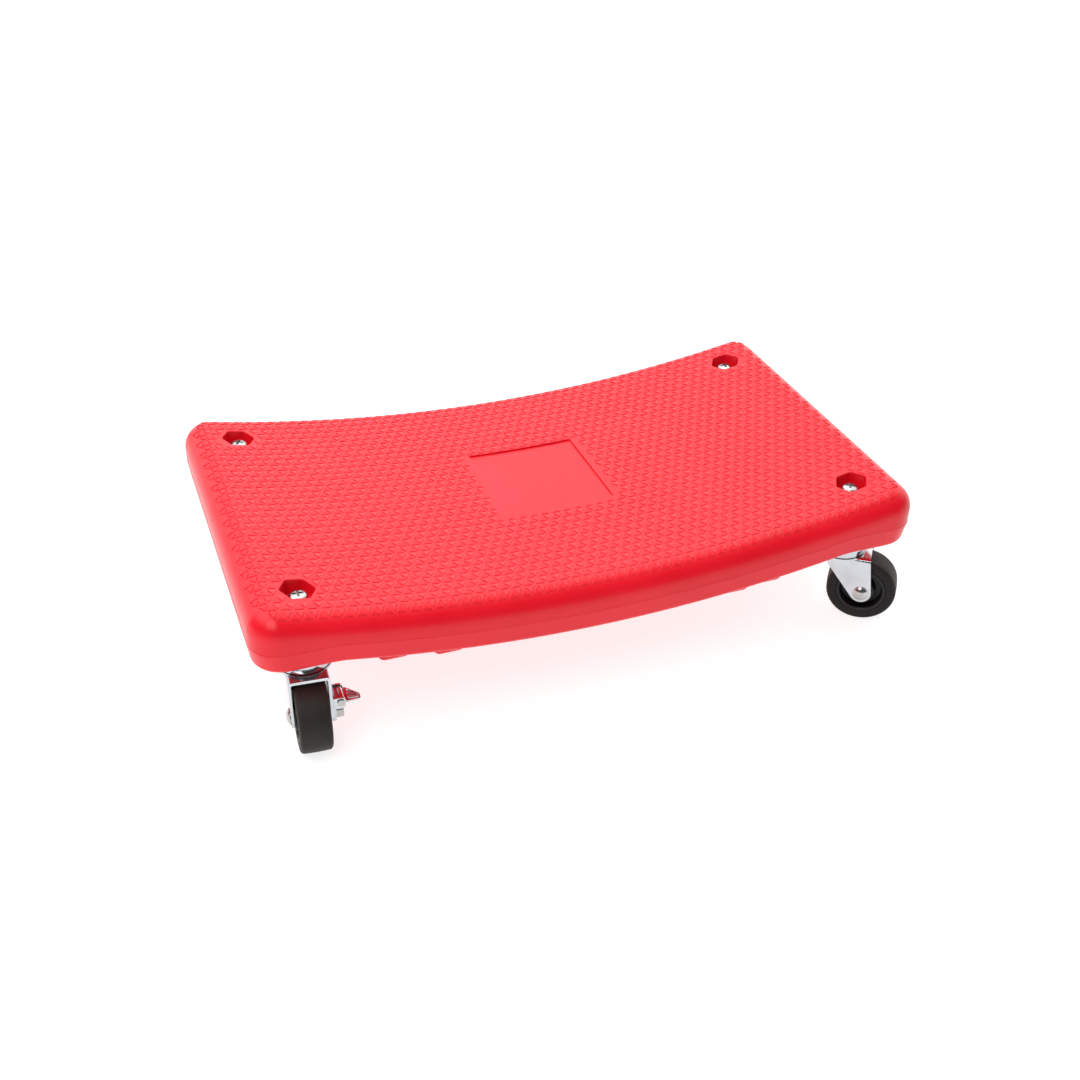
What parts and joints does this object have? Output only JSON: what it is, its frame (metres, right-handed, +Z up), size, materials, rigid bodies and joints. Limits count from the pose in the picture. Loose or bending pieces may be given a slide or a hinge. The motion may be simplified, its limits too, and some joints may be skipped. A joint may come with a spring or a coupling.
{
  "type": "mechanics creeper",
  "caption": "Low rolling creeper board with a saddle-shaped moulded deck, smooth centre panel and swivel casters, two of them with side brakes.",
  "frame": {"origin": "on the floor, under the middle of the deck", "axes": "+Z up; +X along the deck's length; the front side faces -Y"},
  "size_m": [0.47, 0.2838, 0.1127],
  "materials": {
    "deck_red": "satin blow-moulded polyethylene, fine grain on the sides and non-slip embossing on top",
    "pressed_chrome": "bright plated pressed sheet",
    "bright_steel": "bright zinc fasteners",
    "tread_rubber": "matte soft tread",
    "hub_black": "moulded black hub",
    "pad_black": "moulded nylon brake pad",
    "ball_steel": "polished steel balls"
  },
  "bodies": {
    "deck": {"deck": "deck_red", "deck_bolt_front_left": "bright_steel", "lock_nut_front_left": "bright_steel", "race_cap_front_left": "pressed_chrome", "kingpin_front_left": "bright_steel", "deck_bolt_front_right": "bright_steel", "lock_nut_front_right": "bright_steel", "race_cap_front_right": "pressed_chrome", "kingpin_front_right": "bright_steel", "deck_bolt_rear_left": "bright_steel", "lock_nut_rear_left": "bright_steel", "race_cap_rear_left": "pressed_chrome", "kingpin_rear_left": "bright_steel", "deck_bolt_rear_right": "bright_steel", "lock_nut_rear_right": "bright_steel", "race_cap_rear_right": "pressed_chrome", "kingpin_rear_right": "bright_steel"},
    "caster_front_left": {"fork_front_left": "pressed_chrome", "ball_ring_front_left": "ball_steel", "axle_sleeve_front_left": "bright_steel", "axle_bolt_front_left": "bright_steel", "axle_nut_front_left": "bright_steel", "brake_bracket_front_left": "pressed_chrome", "brake_pivot_front_left": "bright_steel"},
    "wheel_front_left": {"tyre_front_left": "tread_rubber", "wheel_hub_front_left": "hub_black"},
    "brake_front_left": {"brake_lever_front_left": "pressed_chrome", "brake_pad_front_left": "pad_black"},
    "caster_front_right": {"fork_front_right": "pressed_chrome", "ball_ring_front_right": "ball_steel", "axle_sleeve_front_right": "bright_steel", "axle_bolt_front_right": "bright_steel", "axle_nut_front_right": "bright_steel"},
    "wheel_front_right": {"tyre_front_right": "tread_rubber", "wheel_hub_front_right": "hub_black"},
    "caster_rear_left": {"fork_rear_left": "pressed_chrome", "ball_ring_rear_left": "ball_steel", "axle_sleeve_rear_left": "bright_steel", "axle_bolt_rear_left": "bright_steel", "axle_nut_rear_left": "bright_steel"},
    "wheel_rear_left": {"tyre_rear_left": "tread_rubber", "wheel_hub_rear_left": "hub_black"},
    "caster_rear_right": {"fork_rear_right": "pressed_chrome", "ball_ring_rear_right": "ball_steel", "axle_sleeve_rear_right": "bright_steel", "axle_bolt_rear_right": "bright_steel", "axle_nut_rear_right": "bright_steel", "brake_bracket_rear_right": "pressed_chrome", "brake_pivot_rear_right": "bright_steel"},
    "wheel_rear_right": {"tyre_rear_right": "tread_rubber", "wheel_hub_rear_right": "hub_black"},
    "brake_rear_right": {"brake_lever_rear_right": "pressed_chrome", "brake_pad_rear_right": "pad_black"}
  },
  "joints": [
    {"name": "swivel_front_left", "type": "hinge", "parent": "deck", "child": "caster_front_left", "pos_m": [-0.1962, -0.0962, 0.055], "axis": [0, 0, 1], "continuous": true},
    {"name": "roll_front_left", "type": "hinge", "parent": "caster_front_left", "child": "wheel_front_left", "pos_m": [-0.19776, -0.11644, 0.025], "axis": [0.9971, -0.0767, 0], "continuous": true},
    {"name": "brake_front_left", "type": "hinge", "parent": "caster_front_left", "child": "brake_front_left", "pos_m": [-0.17951, -0.11784, 0.036], "axis": [-0.0767, -0.9971, 0], "range_deg": [-12, 0]},
    {"name": "swivel_front_right", "type": "hinge", "parent": "deck", "child": "caster_front_right", "pos_m": [0.1962, -0.0962, 0.055], "axis": [0, 0, 1], "continuous": true},
    {"name": "roll_front_right", "type": "hinge", "parent": "caster_front_right", "child": "wheel_front_right", "pos_m": [0.21246, -0.10836, 0.025], "axis": [0.599, 0.8007, 0], "continuous": true},
    {"name": "swivel_rear_left", "type": "hinge", "parent": "deck", "child": "caster_rear_left", "pos_m": [-0.1962, 0.0962, 0.055], "axis": [0, 0, 1], "continuous": true},
    {"name": "roll_rear_left", "type": "hinge", "parent": "caster_rear_left", "child": "wheel_rear_left", "pos_m": [-0.18605, 0.11378, 0.025], "axis": [-0.866, 0.5, 0], "continuous": true},
    {"name": "swivel_rear_right", "type": "hinge", "parent": "deck", "child": "caster_rear_right", "pos_m": [0.1962, 0.0962, 0.055], "axis": [0, 0, 1], "continuous": true},
    {"name": "roll_rear_right", "type": "hinge", "parent": "caster_rear_right", "child": "wheel_rear_right", "pos_m": [0.19776, 0.11644, 0.025], "axis": [-0.9971, 0.0767, 0], "continuous": true},
    {"name": "brake_rear_right", "type": "hinge", "parent": "caster_rear_right", "child": "brake_rear_right", "pos_m": [0.17951, 0.11784, 0.036], "axis": [0.0767, 0.9971, 0], "range_deg": [-12, 0]}
  ]
}
